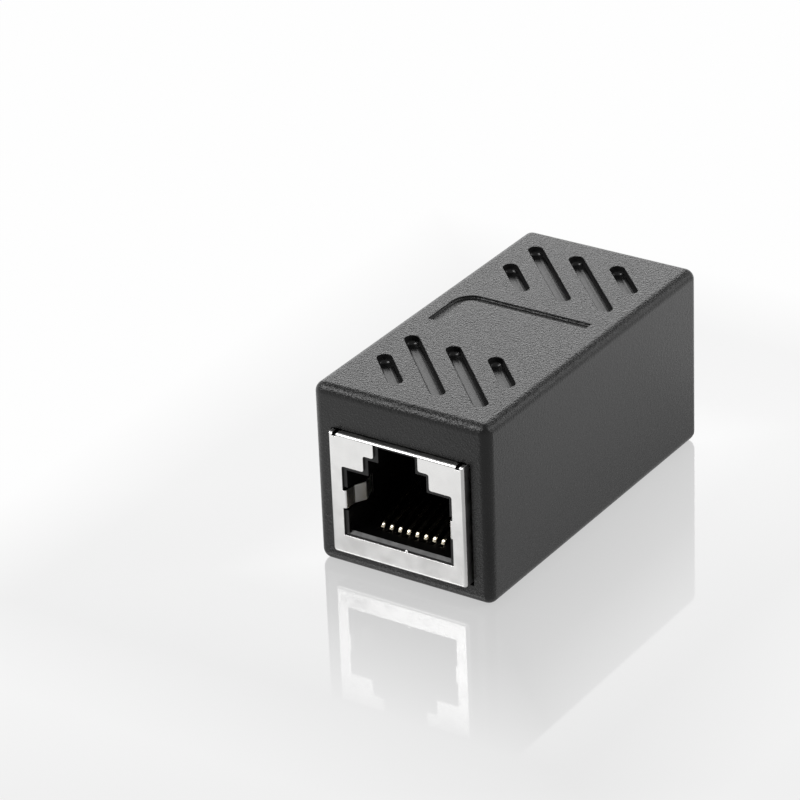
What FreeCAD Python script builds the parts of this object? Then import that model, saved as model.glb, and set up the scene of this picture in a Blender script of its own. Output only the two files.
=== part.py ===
import FreeCAD, Part
import math
import os
import Sketcher

# An inline coupler for shielded eight-contact network plugs. Two sockets stand back to back under one
# circuit board, and the three of them slide into a moulded sleeve that a frame closes at the rear.
# Millimetres. X runs across the coupler, Y from the front socket to the rear one, Z up.
# The origin is the middle of the underside. Each socket's face stands a little proud of the sleeve.

SIZES = {
    # sleeve
    "length": 41.0,
    "floor_thickness": 2.0,
    "roof_thickness": 1.6,
    "side_wall": 1.35,
    "front_wall": 1.8,
    "edge_radius": 1.1,
    "aperture_side_gap": 0.3,
    "aperture_top_gap": 0.1,
    "aperture_corner_radius": 0.4,
    # slots and line sunk into the roof
    "slot_width": 1.54,
    "slot_depth": 0.95,
    "slot_pitch": 4.95,
    "slot_field_width": 13.7,
    "slot_field_length": 8.5,
    "slot_field_inset": 8.6,
    "mark_width": 1.1,
    "mark_depth": 0.3,
    "mark_bend_radius": 1.6,
    "mark_across": 14.6,
    "mark_along": 6.3,
    "mark_offset": 3.35,
    # rear frame
    "frame_thickness": 2.0,
    "frame_play": 0.05,
    "rebate_step": 0.15,
    "rebate_depth_floor": 1.1,
    "rebate_depth_roof": 0.6,
    "tongue_width": 3.0,
    "tongue_spacing": 9.0,
    "tongue_thickness": 0.95,
    "tongue_length": 3.2,
    "hook_height": 0.4,
    "hook_length": 0.9,
    # circuit board
    "board_thickness": 1.6,
    "board_overhang": 0.9,
    "board_side_play": 0.125,
    "board_end_play": 0.1,
    "board_groove_play": 0.05,
    "tail_room": 1.25,
    "tail_hole": 0.9,
    "peg_hole_play": 0.05,
    "leg_hole_play": 0.2,
    # socket shields
    "shield_stand_out": 0.9,
    "sheet": 0.2,
    "shield_width": 15.75,
    "shield_height": 13.45,
    "shield_depth": 17.0,
    "bend_radius": 0.3,
    "floor_bend_radius": 0.4,
    "lip_length": 2.5,
    "relief_width": 0.45,
    "relief_height": 0.35,
    "relief_inset": 0.45,
    "leg_width": 1.8,
    "leg_setback": 10.0,
    "leg_projection": 1.0,
    "opening_bottom": 2.18,
    "opening_width": 12.86,
    "opening_height": 7.75,
    "step_width": 7.68,
    "step_height": 1.78,
    "keyway_width": 5.2,
    "opening_corner_radius": 0.25,
    "spring_width": 2.0,
    "spring_height": 5.22,
    "spring_bend_radius": 0.2,
    "spring_turn_in": 0.37,
    "spring_slant_start": 1.5,
    "spring_slant_in": 0.45,
    "spring_crest_setback": 2.7,
    "spring_reach": 1.1,
    "spring_depth": 4.2,
    "spring_tip_in": 0.5,
    # moulded inner parts
    "insulator_depth": 12.9,
    "insulator_play": 0.05,
    "insulator_rim": 0.45,
    "insulator_sill": 0.45,
    "insulator_brow": 0.3,
    "plug_depth": 11.6,
    "mouth_chamfer": 0.35,
    "latch_wall": 1.4,
    "latch_pocket": 5.4,
    "peg_diameter": 3.2,
    "peg_spacing": 11.43,
    "peg_setback": 7.01,
    "spring_pocket_play": 0.3,
    "contact_slot": 0.6,
    "contact_slot_front": 1.9,
    "comb_clearance": 0.5,
    "carrier_depth": 3.65,
    # contacts
    "contact_pitch": 1.016,
    "contact_width": 0.45,
    "contact_thickness": 0.3,
    "contact_play": 0.05,
    "tail_row_front": 13.36,
    "tail_row_spacing": 2.54,
    "tail_projection": 1.0,
    "contact_run_gap": 0.3,
    "contact_fold_setback": 2.6,
    "contact_fold_height": 2.85,
    "contact_tip_setback": 12.3,
    "contact_tip_height": 5.9,
    "contact_bend_radius": 0.6,
}

CONTACTS = 8
SLOTS = 4
PAST = 1.0  # how far a cut runs on past the face it leaves by
NEAR = 0.01  # how close two coordinates are to count as one


class Size:
    """A size held twice: as a number, and as the sheet expression that gives the number."""

    def __init__(self, number, text):
        self.number = number
        self.text = text

    def __add__(self, other):
        other = size(other)
        return Size(self.number + other.number, f"({self.text} + {other.text})")

    def __sub__(self, other):
        other = size(other)
        return Size(self.number - other.number, f"({self.text} - {other.text})")

    def __mul__(self, factor):
        factor = size(factor)
        return Size(self.number * factor.number, f"({self.text} * {factor.text})")

    def __truediv__(self, divisor):
        divisor = size(divisor)
        return Size(self.number / divisor.number, f"({self.text} / {divisor.text})")

    def __neg__(self):
        return Size(-self.number, f"(0 - {self.text})")

    __rmul__ = __mul__


def size(value):
    """A plain number as a Size; a Size comes back as it is."""
    return value if isinstance(value, Size) else Size(float(value), repr(float(value)))


class Sheet:
    """The driving sizes: each is a cell of the document's sheet and an attribute here."""

    def __init__(self, doc):
        table = doc.addObject("Spreadsheet::Sheet", "Sizes")
        for row, (alias, number) in enumerate(SIZES.items(), start=1):
            table.set(f"A{row}", alias)
            table.set(f"B{row}", str(number))
            table.setAlias(f"B{row}", alias)
            setattr(self, alias, Size(number, f"Sizes.{alias}"))


class Drawing:
    """A sketch on one of its body's origin planes, every point of it tied to sizes."""

    def __init__(self, body, name, plane, offset=None):
        self.sketch = body.newObject("Sketcher::SketchObject", name)
        planes = {feature.Role: feature for feature in body.Origin.OriginFeatures}
        self.sketch.AttachmentSupport = [(planes[plane], "")]
        self.sketch.MapMode = "FlatFace"
        if offset is not None:
            self.sketch.AttachmentOffset = FreeCAD.Placement(
                FreeCAD.Vector(0, 0, offset.number), FreeCAD.Rotation())
            self.sketch.setExpression("AttachmentOffset.Base.z", offset.text)

    def tie(self, kind, *where, to):
        """Adds a dimension and binds it to a size."""
        index = self.sketch.addConstraint(Sketcher.Constraint(kind, *where, to.number))
        self.sketch.setExpression(f"Constraints[{index}]", to.text)

    def join(self, kind, *where):
        """Adds a constraint that has no size."""
        self.sketch.addConstraint(Sketcher.Constraint(kind, *where))

    def place(self, element, end, point):
        """Puts one end or centre of an element at a point."""
        self.tie("DistanceX", -1, 1, element, end, to=point[0])
        self.tie("DistanceY", -1, 1, element, end, to=point[1])

    def polygon(self, points):
        """A closed outline of straight edges."""
        points = [(size(across), size(up)) for across, up in points]
        following = points[1:] + points[:1]
        lines = [self.sketch.addGeometry(Part.LineSegment(vector(start), vector(end)))
                 for start, end in zip(points, following)]
        for line, after in zip(lines, lines[1:] + lines[:1]):
            self.join("Coincident", line, 2, after, 1)
        for line, point in zip(lines, points):
            self.place(line, 1, point)

    def rectangle(self, left, low, right, high):
        """A closed rectangle with its sides along the sketch axes."""
        self.polygon([(left, low), (right, low), (right, high), (left, high)])

    def circle(self, centre, diameter):
        """A circle round a point."""
        centre = [size(value) for value in centre]
        ring = self.sketch.addGeometry(
            Part.Circle(vector(centre), FreeCAD.Vector(0, 0, 1), diameter.number / 2))
        self.place(ring, 3, centre)
        self.tie("Diameter", ring, to=diameter)

    def stadium(self, start, end, width):
        """Two half circles round the end points, joined by two straight sides."""
        start = [size(value) for value in start]
        end = [size(value) for value in end]
        along = vector(end) - vector(start)
        heading = math.atan2(along.y, along.x)
        radius = width.number / 2
        side = FreeCAD.Vector(-math.sin(heading), math.cos(heading), 0) * radius
        quarter = math.pi / 2
        first = self.arc(vector(start), radius, heading + quarter, heading + 3 * quarter)
        second = self.arc(vector(end), radius, heading - quarter, heading + quarter)
        right = self.sketch.addGeometry(Part.LineSegment(vector(start) - side, vector(end) - side))
        left = self.sketch.addGeometry(Part.LineSegment(vector(end) + side, vector(start) + side))
        self.join("Tangent", first, 2, right, 1)
        self.join("Tangent", right, 2, second, 1)
        self.join("Tangent", second, 2, left, 1)
        self.join("Tangent", left, 2, first, 1)
        self.join("Equal", first, second)
        self.place(first, 3, start)
        self.place(second, 3, end)
        self.tie("Radius", first, to=width / 2)

    def arc(self, centre, radius, start_angle, end_angle):
        """Adds a bare arc, counterclockwise from one angle to the other."""
        ring = Part.Circle(centre, FreeCAD.Vector(0, 0, 1), radius)
        return self.sketch.addGeometry(Part.ArcOfCircle(ring, start_angle, end_angle))

    def bent_line(self, points, radius):
        """An open run of straight lines with a tangent arc of one radius at each inner point."""
        points = [(size(across), size(up)) for across, up in points]
        spots = [vector(point) for point in points]
        bends = [Bend(*three, radius.number) for three in zip(spots, spots[1:], spots[2:])]
        starts = [spots[0]] + [bend.leaves for bend in bends]
        ends = [bend.enters for bend in bends] + [spots[-1]]
        lines = [self.sketch.addGeometry(Part.LineSegment(start, end)) for start, end in zip(starts, ends)]
        for bend, corner, before, after in zip(bends, points[1:], lines, lines[1:]):
            arc = self.arc(bend.centre, bend.radius, *bend.angles)
            first, last = (1, 2) if bend.turns_left else (2, 1)
            self.join("Tangent", before, 2, arc, first)
            self.join("Tangent", arc, last, after, 1)
            self.tie("Radius", arc, to=radius)
            mark = self.sketch.addGeometry(Part.Point(vector(corner)), True)
            self.place(mark, 1, corner)
            self.join("PointOnObject", mark, 1, before)
            self.join("PointOnObject", mark, 1, after)
        self.place(lines[0], 1, points[0])
        self.place(lines[-1], 2, points[-1])


class Bend:
    """The arc that rounds the corner of a bent line."""

    def __init__(self, before, corner, after, radius):
        arriving = (corner - before).normalize()
        leaving = (after - corner).normalize()
        turn = math.atan2(arriving.x * leaving.y - arriving.y * leaving.x, arriving.dot(leaving))
        cut = radius * math.tan(abs(turn) / 2)
        self.radius = radius
        self.turns_left = turn > 0
        self.enters = corner - arriving * cut
        self.leaves = corner + leaving * cut
        inward = FreeCAD.Vector(-arriving.y, arriving.x, 0) * math.copysign(radius, turn)
        self.centre = self.enters + inward
        angles = [math.atan2(spot.y - self.centre.y, spot.x - self.centre.x)
                  for spot in (self.enters, self.leaves)]
        self.angles = angles if self.turns_left else angles[::-1]


def vector(point):
    """The spot of a point in its sketch."""
    return FreeCAD.Vector(point[0].number, point[1].number, 0)


class Piece:
    """A part-design body that takes one feature after another."""

    def __init__(self, doc, label, place, turned=False):
        self.doc = doc
        self.body = doc.addObject("PartDesign::Body", label)
        self.body.Label = label
        turn = 180 if turned else 0
        self.body.Placement = FreeCAD.Placement(
            FreeCAD.Vector(*(size(value).number for value in place)),
            FreeCAD.Rotation(FreeCAD.Vector(0, 0, 1), turn))
        for axis, value in zip("xyz", place):
            self.body.setExpression(f"Placement.Base.{axis}", size(value).text)

    def draw(self, name, plane, offset=None):
        """A new sketch; the offset runs along the plane's normal."""
        return Drawing(self.body, f"{self.body.Label}_{name}", plane, offset)

    def feature(self, kind, name):
        """A bare new feature, named after the body."""
        return self.body.newObject(f"PartDesign::{kind}", f"{self.body.Label}_{name}")

    def pad(self, drawing, name, length, back=False, middle=False):
        """Raises a sketch along its normal, against it, or half to each side."""
        pad = self.feature("Pad", name)
        pad.Profile = drawing.sketch
        pad.setExpression("Length", length.text)
        pad.Reversed = back
        pad.Midplane = middle
        self.doc.recompute()
        return pad

    def pocket(self, drawing, name, depth, back=False, middle=False):
        """Sinks a sketch into the body and makes sure that it cut something."""
        before = self.body.Shape.Volume
        pocket = self.feature("Pocket", name)
        pocket.Profile = drawing.sketch
        pocket.setExpression("Length", depth.text)
        pocket.Reversed = back
        pocket.Midplane = middle
        self.doc.recompute()
        if self.body.Shape.Volume > before - 1e-6:
            raise RuntimeError(f"{pocket.Name} cuts nothing")
        return pocket

    def pipe(self, profile, spine, name):
        """Carries a profile sketch along the lines and arcs of a spine sketch."""
        pipe = self.feature("AdditivePipe", name)
        pipe.Profile = profile.sketch
        edges = [f"Edge{number}" for number in range(1, len(spine.sketch.Shape.Edges) + 1)]
        pipe.Spine = (spine.sketch, edges)
        self.doc.recompute()
        return pipe

    def smooth(self, kind, name, amount, chosen):
        """Fillets or chamfers the edges whose bounding boxes pass a test."""
        base = self.body.Tip
        edges = [f"Edge{number}" for number, edge in enumerate(base.Shape.Edges, start=1)
                 if chosen(edge.BoundBox)]
        if not edges:
            raise RuntimeError(f"{self.body.Label} has no edge for {name}")
        feature = self.feature(kind, name)
        feature.Base = (base, edges)
        feature.setExpression("Radius" if kind == "Fillet" else "Size", amount.text)
        self.doc.recompute()
        return feature

    def repeat(self, feature, name, direction, count, spacing):
        """Repeats a feature in a straight row along a sketch axis."""
        pattern = self.feature("LinearPattern", name)
        pattern.Originals = [feature]
        pattern.Direction = direction
        pattern.Occurrences = count
        pattern.setExpression("Length", (spacing * (count - 1)).text)
        self.body.Tip = pattern
        self.doc.recompute()
        return pattern

    def turn_copy(self, features, name):
        """Repeats features half a turn on, round the body's upright axis."""
        axes = {item.Role: item for item in self.body.Origin.OriginFeatures}
        pattern = self.feature("PolarPattern", name)
        pattern.Originals = features
        pattern.Axis = (axes["Z_Axis"], [""])
        pattern.Angle = 360
        pattern.Occurrences = 2
        self.body.Tip = pattern
        self.doc.recompute()
        return pattern

    def mirror(self, features, name):
        """Repeats features on the other side of the body's middle."""
        planes = {item.Role: item for item in self.body.Origin.OriginFeatures}
        pattern = self.feature("Mirrored", name)
        pattern.Originals = features
        pattern.MirrorPlane = (planes["YZ_Plane"], [""])
        self.body.Tip = pattern
        self.doc.recompute()
        return pattern


class Coupler:
    """The sizes that several pieces share, and the pieces themselves."""

    def __init__(self, doc):
        self.doc = doc
        self.s = s = Sheet(doc)
        self.board_underside = s.floor_thickness + s.shield_height
        self.board_topside = self.board_underside + s.board_thickness
        self.roof_underside = self.board_topside + s.tail_room
        self.height = self.roof_underside + s.roof_thickness
        self.board_half_width = s.shield_width / 2 + s.board_overhang
        self.groove_half_width = self.board_half_width + s.board_side_play
        self.half_width = self.groove_half_width + s.side_wall
        self.half_length = s.length / 2
        self.mouth = self.half_length + s.shield_stand_out
        self.aperture_half_width = s.shield_width / 2 + s.aperture_side_gap
        self.aperture_top = self.board_underside + s.aperture_top_gap
        self.rebate_half_width = self.groove_half_width + s.rebate_step
        self.rebate_floor = s.floor_thickness - s.rebate_depth_floor
        self.rebate_roof = self.roof_underside + s.rebate_depth_roof
        self.tongue_top = self.roof_underside - s.frame_play
        self.hook_top = self.tongue_top + s.hook_height
        self.hook_back = self.half_length - s.frame_thickness - s.tongue_length
        self.insulator_half_width = s.shield_width / 2 - s.sheet - s.insulator_play
        self.insulator_bottom = s.floor_thickness + s.sheet + s.insulator_play
        self.insulator_front = s.sheet + s.insulator_play
        self.opening_floor = s.floor_thickness + s.opening_bottom
        self.contact_run = s.floor_thickness + s.sheet + s.contact_run_gap + s.contact_thickness / 2
        self.tail_row_back = s.tail_row_front + s.tail_row_spacing
        self.spring_low = s.floor_thickness + s.spring_height
        self.comb_top = s.floor_thickness + s.contact_tip_height + s.comb_clearance

    def socket_place(self, rear):
        """Where a socket's own origin lies: the middle of its mouth, at the underside's level."""
        return (0, self.mouth if rear else -self.mouth, 0)

    def column(self, number):
        """How far contact 1 to 8 lies from the middle of its socket."""
        return self.s.contact_pitch * (number - (CONTACTS + 1) / 2)

    def tail_row(self, number):
        """How far behind the mouth the tail of contact 1 to 8 stands: odd ones behind even ones."""
        return self.tail_row_back if number % 2 else self.s.tail_row_front

    # sleeve

    def sleeve(self):
        """The moulded outer case: one piece, open at the rear, with the front mouth in its end wall."""
        s = self.s
        piece = Piece(self.doc, "housing", (0, 0, 0))
        outline = piece.draw("outline", "XZ_Plane")
        outline.rectangle(-self.half_width, 0, self.half_width, self.height)
        piece.pad(outline, "block", s.length, middle=True)
        top = self.height.number
        reach = self.half_length.number
        piece.smooth("Fillet", "upright_edges", s.edge_radius, lambda box: box.ZLength > top - NEAR)
        piece.smooth("Fillet", "underside_edges", s.edge_radius, lambda box: box.ZMax < NEAR)
        piece.smooth("Fillet", "roof_edges", s.edge_radius, lambda box: box.ZMin > top - NEAR)
        aperture = piece.draw("aperture", "XZ_Plane", offset=self.half_length)
        aperture.rectangle(-self.aperture_half_width, s.floor_thickness,
                           self.aperture_half_width, self.aperture_top)
        piece.pocket(aperture, "mouth", s.front_wall * 2)
        piece.smooth("Fillet", "mouth_corners", s.aperture_corner_radius,
                     lambda box: box.YMax < 2 * s.front_wall.number - reach + NEAR
                     and box.YLength > s.front_wall.number and box.ZMin > self.aperture_top.number - NEAR)
        cavity = piece.draw("cavity_section", "XZ_Plane", offset=-self.half_length)
        cavity.rectangle(-self.aperture_half_width, s.floor_thickness,
                         self.aperture_half_width, self.roof_underside)
        depth = s.length - s.front_wall
        piece.pocket(cavity, "cavity", depth, back=True)
        groove = piece.draw("groove_section", "XZ_Plane", offset=-self.half_length)
        groove.rectangle(-self.groove_half_width, self.board_underside - s.board_groove_play,
                         self.groove_half_width, self.board_topside + s.board_groove_play)
        piece.pocket(groove, "board_grooves", depth, back=True)
        rebate = piece.draw("rebate_section", "XZ_Plane", offset=-self.half_length)
        rebate.rectangle(-self.rebate_half_width, self.rebate_floor,
                         self.rebate_half_width, self.rebate_roof)
        piece.pocket(rebate, "rebate", s.frame_thickness, back=True)
        catch = piece.draw("catch_section", "YZ_Plane", offset=s.tongue_spacing / 2)
        catch.rectangle(self.hook_back - s.frame_play * 2, self.roof_underside - s.frame_play,
                        self.hook_back + s.hook_length + s.frame_play * 2, self.hook_top + s.frame_play)
        catches = piece.pocket(catch, "catch", s.tongue_width + s.frame_play * 4, middle=True)
        piece.mirror([catches], "catches")
        slots = piece.draw("slots", "XY_Plane", offset=self.height)
        self.draw_slots(slots)
        sunk = piece.pocket(slots, "front_slots", s.slot_depth)
        piece.turn_copy([sunk], "all_slots")
        mark = piece.draw("mark_profile", "YZ_Plane", offset=s.mark_across / 2)
        spine = piece.draw("mark_spine", "XY_Plane", offset=self.height)
        self.sink_mark(piece, mark, spine)
        return piece

    def draw_slots(self, drawing):
        """Four slots at 45 degrees, each cut off by the field that holds them."""
        s = self.s
        middle = s.slot_field_inset - self.half_length
        half_across = s.slot_field_width / 2
        half_along = s.slot_field_length / 2
        for number in range(SLOTS):
            crossing = s.slot_pitch * (number - (SLOTS - 1) / 2)
            left = crossing - half_along
            right = crossing + half_along
            if left.number < -half_across.number:
                left = -half_across
            if right.number > half_across.number:
                right = half_across
            drawing.stadium((left, middle + crossing - left), (right, middle + crossing - right), s.slot_width)

    def sink_mark(self, piece, profile, spine):
        """The shallow angled line across the roof's middle."""
        s = self.s
        left = -s.mark_across / 2
        right = s.mark_across / 2
        spine.bent_line([(left, s.mark_offset - s.mark_along), (left, s.mark_offset),
                         (right, s.mark_offset)], s.mark_bend_radius)
        profile.rectangle(s.mark_offset - s.mark_width / 2, self.height - s.mark_depth,
                          s.mark_offset + s.mark_width / 2, self.height + s.mark_depth)
        pipe = piece.feature("SubtractivePipe", "mark")
        pipe.Profile = profile.sketch
        pipe.Spine = (spine.sketch, ["Edge3", "Edge2", "Edge1"])
        self.doc.recompute()

    # rear frame

    def rear_frame(self):
        """The frame that sits flush in the sleeve's rear rebate and latches under the roof."""
        s = self.s
        piece = Piece(self.doc, "rear_frame", (0, 0, 0))
        ring = piece.draw("ring", "XZ_Plane", offset=-self.half_length)
        play = s.frame_play
        ring.rectangle(-self.rebate_half_width + play, self.rebate_floor + play,
                       self.rebate_half_width - play, self.rebate_roof - play)
        ring.rectangle(-self.aperture_half_width, s.floor_thickness - play,
                       self.aperture_half_width, self.aperture_top)
        piece.pad(ring, "plate", s.frame_thickness - play)
        tongue = piece.draw("tongue_section", "YZ_Plane", offset=s.tongue_spacing / 2)
        front = self.half_length - s.frame_thickness
        tongue.polygon([
            (front + s.frame_thickness / 2, self.tongue_top - s.tongue_thickness),
            (front + s.frame_thickness / 2, self.tongue_top),
            (self.hook_back + s.hook_length, self.tongue_top),
            (self.hook_back + s.hook_length, self.hook_top),
            (self.hook_back + s.hook_length / 2, self.hook_top),
            (self.hook_back, self.tongue_top),
            (self.hook_back, self.tongue_top - s.tongue_thickness),
        ])
        tongue_pad = piece.pad(tongue, "tongue", s.tongue_width, middle=True)
        piece.mirror([tongue_pad], "tongues")
        return piece

    # circuit board

    def circuit_board(self):
        """The board that both sockets hang from, with a hole for every tail, peg and leg."""
        s = self.s
        piece = Piece(self.doc, "circuit_board", (0, 0, 0))
        sheet = piece.draw("outline", "XY_Plane", offset=self.board_underside)
        sheet.rectangle(-self.board_half_width, s.front_wall + s.board_end_play - self.half_length,
                        self.board_half_width, self.half_length - s.frame_thickness - s.board_end_play)
        piece.pad(sheet, "sheet", s.board_thickness)
        holes = piece.draw("holes", "XY_Plane", offset=self.board_topside)
        mouth = -self.mouth
        for number in range(1, CONTACTS + 1):
            holes.circle((self.column(number), mouth + self.tail_row(number)), s.tail_hole)
        for side in (-1, 1):
            holes.circle((s.peg_spacing / 2 * side, mouth + s.peg_setback),
                         s.peg_diameter + s.peg_hole_play * 2)
            middle = (s.shield_width - s.sheet) / 2 * side
            reach = (s.leg_width + s.leg_hole_play) / 2
            half = s.sheet / 2 + s.leg_hole_play
            holes.rectangle(middle - half, mouth + s.leg_setback - reach,
                            middle + half, mouth + s.leg_setback + reach)
        drilled = piece.pocket(holes, "front_holes", s.board_thickness)
        piece.turn_copy([drilled], "all_holes")
        return piece

    # socket pieces, each drawn with the mouth at Y = 0 and the socket running to +Y

    def shield(self, label, rear):
        """A socket's shield, folded from one sheet: face, floor, sides, back, lip, legs and springs."""
        s = self.s
        piece = Piece(self.doc, label, self.socket_place(rear), turned=rear)
        half = s.shield_width / 2
        low = s.floor_thickness
        high = self.board_underside
        outer = piece.draw("outer", "XZ_Plane")
        outer.rectangle(-half, low, half, high)
        piece.pad(outer, "wrap", s.shield_depth, back=True)
        piece.smooth("Fillet", "floor_folds", s.floor_bend_radius,
                     lambda box: box.ZMax < low.number + NEAR
                     and box.YLength > s.shield_depth.number - NEAR)
        piece.smooth("Fillet", "face_folds", s.bend_radius, lambda box: box.YMax < NEAR)
        inner = piece.draw("inner", "XZ_Plane", offset=-s.sheet)
        inner.rectangle(s.sheet - half, low + s.sheet, half - s.sheet, high - s.sheet)
        piece.pocket(inner, "hollow", s.shield_depth - s.sheet * 2)
        open_side = piece.draw("open_side", "XY_Plane", offset=high)
        open_side.rectangle(s.sheet - half, s.lip_length, half - s.sheet, s.shield_depth - s.sheet)
        piece.pocket(open_side, "board_side", s.sheet)
        mouth = piece.draw("mouth", "XZ_Plane")
        mouth.polygon(self.stepped(s.opening_width, s.step_width, s.keyway_width, self.opening_floor,
                                   self.opening_floor + s.opening_height,
                                   self.opening_floor + s.opening_height + s.step_height,
                                   high - s.sheet))
        piece.pocket(mouth, "opening", s.sheet)
        shoulder = (self.opening_floor + s.opening_height).number
        step = shoulder + s.step_height.number
        piece.smooth("Fillet", "opening_corners", s.opening_corner_radius,
                     lambda box: box.XLength < NEAR and box.ZLength < NEAR
                     and shoulder - NEAR < box.ZMin < step + NEAR)
        self.cut_reliefs(piece, half, high)
        leg = piece.draw("leg_outline", "YZ_Plane", offset=half - s.sheet / 2)
        tip = s.leg_width / 4
        leg_top = high + s.board_thickness + s.leg_projection
        leg.polygon([
            (s.leg_setback - s.leg_width / 2, high - s.sheet),
            (s.leg_setback + s.leg_width / 2, high - s.sheet),
            (s.leg_setback + s.leg_width / 2, leg_top - tip),
            (s.leg_setback + s.leg_width / 2 - tip, leg_top),
            (s.leg_setback - s.leg_width / 2 + tip, leg_top),
            (s.leg_setback - s.leg_width / 2, leg_top - tip),
        ])
        leg_pad = piece.pad(leg, "leg", s.sheet, middle=True)
        spring_pipe = self.spring(piece)
        piece.mirror([leg_pad, spring_pipe], "both_sides")
        return piece

    def stepped(self, wide, middle, narrow, floor, shoulder, step, top):
        """The outline of a plug opening: a wide body, a step and a keyway above it."""
        return [(-wide / 2, floor), (wide / 2, floor), (wide / 2, shoulder), (middle / 2, shoulder),
                (middle / 2, step), (narrow / 2, step), (narrow / 2, top), (-narrow / 2, top),
                (-narrow / 2, step), (-middle / 2, step), (-middle / 2, shoulder), (-wide / 2, shoulder)]

    def cut_reliefs(self, piece, half, high):
        """The small notches that part the lip's fold from the side folds."""
        s = self.s
        reliefs = piece.draw("reliefs", "XZ_Plane")
        for side in (-1, 1):
            outer = (half - s.relief_inset) * side
            inner = (half - s.relief_inset - s.relief_width) * side
            reliefs.rectangle(inner, high - s.relief_height, outer, high + s.relief_height)
        piece.pocket(reliefs, "corner_reliefs", s.lip_length)

    def spring(self, piece):
        """A ground spring: a strip folded in from the opening's edge, bowed towards the plug."""
        s = self.s
        root = s.opening_width / 2
        middle = s.sheet / 2
        edge = root + s.sheet
        route = piece.draw("spring_route", "XY_Plane", offset=self.spring_low + s.spring_width / 2)
        route.bent_line([
            (edge, middle),
            (root - s.spring_turn_in + middle, middle),
            (root - s.spring_slant_in + middle, s.spring_slant_start),
            (root - s.spring_reach + middle, s.spring_crest_setback),
            (root - s.spring_tip_in, s.spring_depth),
        ], s.spring_bend_radius)
        strip = piece.draw("spring_strip", "YZ_Plane", offset=edge)
        strip.rectangle(0, self.spring_low, s.sheet, self.spring_low + s.spring_width)
        self.doc.recompute()
        return piece.pipe(strip, route, "spring")

    def insulator(self, label, rear):
        """The moulded socket body: the plug's cavity, the comb for the contacts and two board pegs."""
        s = self.s
        piece = Piece(self.doc, label, self.socket_place(rear), turned=rear)
        half = self.insulator_half_width
        high = self.board_underside
        front = self.insulator_front
        block = piece.draw("block_section", "XZ_Plane", offset=-front)
        block.rectangle(-half, self.insulator_bottom, half, high)
        piece.pad(block, "block", s.insulator_depth - front, back=True)
        rim = s.insulator_rim
        cavity = piece.draw("cavity_section", "XZ_Plane", offset=-front)
        floor = self.opening_floor + s.insulator_sill
        step = self.opening_floor + s.opening_height + s.step_height - rim
        ceiling = high - s.sheet - s.insulator_brow
        cavity.polygon(self.stepped(s.opening_width - rim * 2, s.step_width - rim * 2,
                                    s.keyway_width - rim * 2, floor,
                                    self.opening_floor + s.opening_height - rim, step, ceiling))
        piece.pocket(cavity, "plug_cavity", s.plug_depth - front)
        piece.smooth("Chamfer", "mouth_edge", s.mouth_chamfer,
                     lambda box: box.YMax < front.number + NEAR and box.ZLength < NEAR
                     and abs(box.ZMin - floor.number) < NEAR)
        latch = piece.draw("latch_section", "XZ_Plane", offset=-(front + s.latch_wall))
        latch.rectangle(rim - s.step_width / 2, step - rim, s.step_width / 2 - rim, ceiling)
        piece.pocket(latch, "latch_room", s.latch_pocket)
        notch = piece.draw("lip_notch", "YZ_Plane")
        notch.rectangle(0, high - s.sheet - s.insulator_play, s.lip_length + s.insulator_play, high + PAST)
        piece.pocket(notch, "lip_room", s.shield_width, middle=True)
        pockets = piece.draw("spring_pockets", "XY_Plane",
                             offset=self.spring_low - s.spring_pocket_play)
        root = s.opening_width / 2
        inner = root - s.spring_reach - s.insulator_rim
        outer = root + s.sheet + s.insulator_play * 2
        for side in (-1, 1):
            pockets.rectangle(inner * side, 0, outer * side, s.spring_depth + s.insulator_rim)
        piece.pocket(pockets, "spring_room", s.spring_width + s.spring_pocket_play * 2, back=True)
        slot = piece.draw("contact_slot", "YZ_Plane", offset=self.column(1))
        slot.rectangle(s.contact_slot_front, 0, s.insulator_depth + PAST, self.comb_top)
        first = piece.pocket(slot, "first_slot", s.contact_slot, middle=True)
        piece.repeat(first, "comb", (slot.sketch, ["N_Axis"]), CONTACTS, s.contact_pitch)
        pegs = piece.draw("pegs", "XY_Plane", offset=high)
        for side in (-1, 1):
            pegs.circle((s.peg_spacing / 2 * side, s.peg_setback), s.peg_diameter)
        piece.pad(pegs, "board_pegs", s.board_thickness)
        return piece

    def contact_carrier(self, label, rear):
        """The block behind the plug's cavity, channelled so that each contact climbs to the board."""
        s = self.s
        piece = Piece(self.doc, label, self.socket_place(rear), turned=rear)
        half = self.insulator_half_width
        front = s.insulator_depth + s.insulator_play
        back = front + s.carrier_depth
        plan = piece.draw("plan", "XY_Plane", offset=self.insulator_bottom)
        plan.rectangle(-half, front, half, back)
        piece.pad(plan, "block", self.board_underside - self.insulator_bottom)
        room = s.contact_thickness / 2 + s.contact_play * 2
        width = s.contact_width + s.contact_play * 2
        tall = self.board_underside + PAST
        near = piece.draw("near_channel", "YZ_Plane", offset=self.column(2))
        near.rectangle(front - PAST, 0, s.tail_row_front + room, tall)
        near_cut = piece.pocket(near, "near_channel_cut", width, middle=True)
        piece.repeat(near_cut, "near_channels", (near.sketch, ["N_Axis"]), CONTACTS // 2,
                     s.contact_pitch * 2)
        far = piece.draw("far_channel", "YZ_Plane", offset=self.column(1))
        channel = self.tail_row_back - room
        ceiling = self.contact_run + room + s.contact_play * 4
        inside = channel - s.contact_play * 2
        far.polygon([(front - PAST, 0), (back + PAST, 0), (back + PAST, tall), (inside, tall),
                     (inside, ceiling), (front - PAST, ceiling)])
        far_cut = piece.pocket(far, "far_channel_cut", width, middle=True)
        piece.repeat(far_cut, "far_channels", (far.sketch, ["N_Axis"]), CONTACTS // 2,
                     s.contact_pitch * 2)
        return piece

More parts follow.
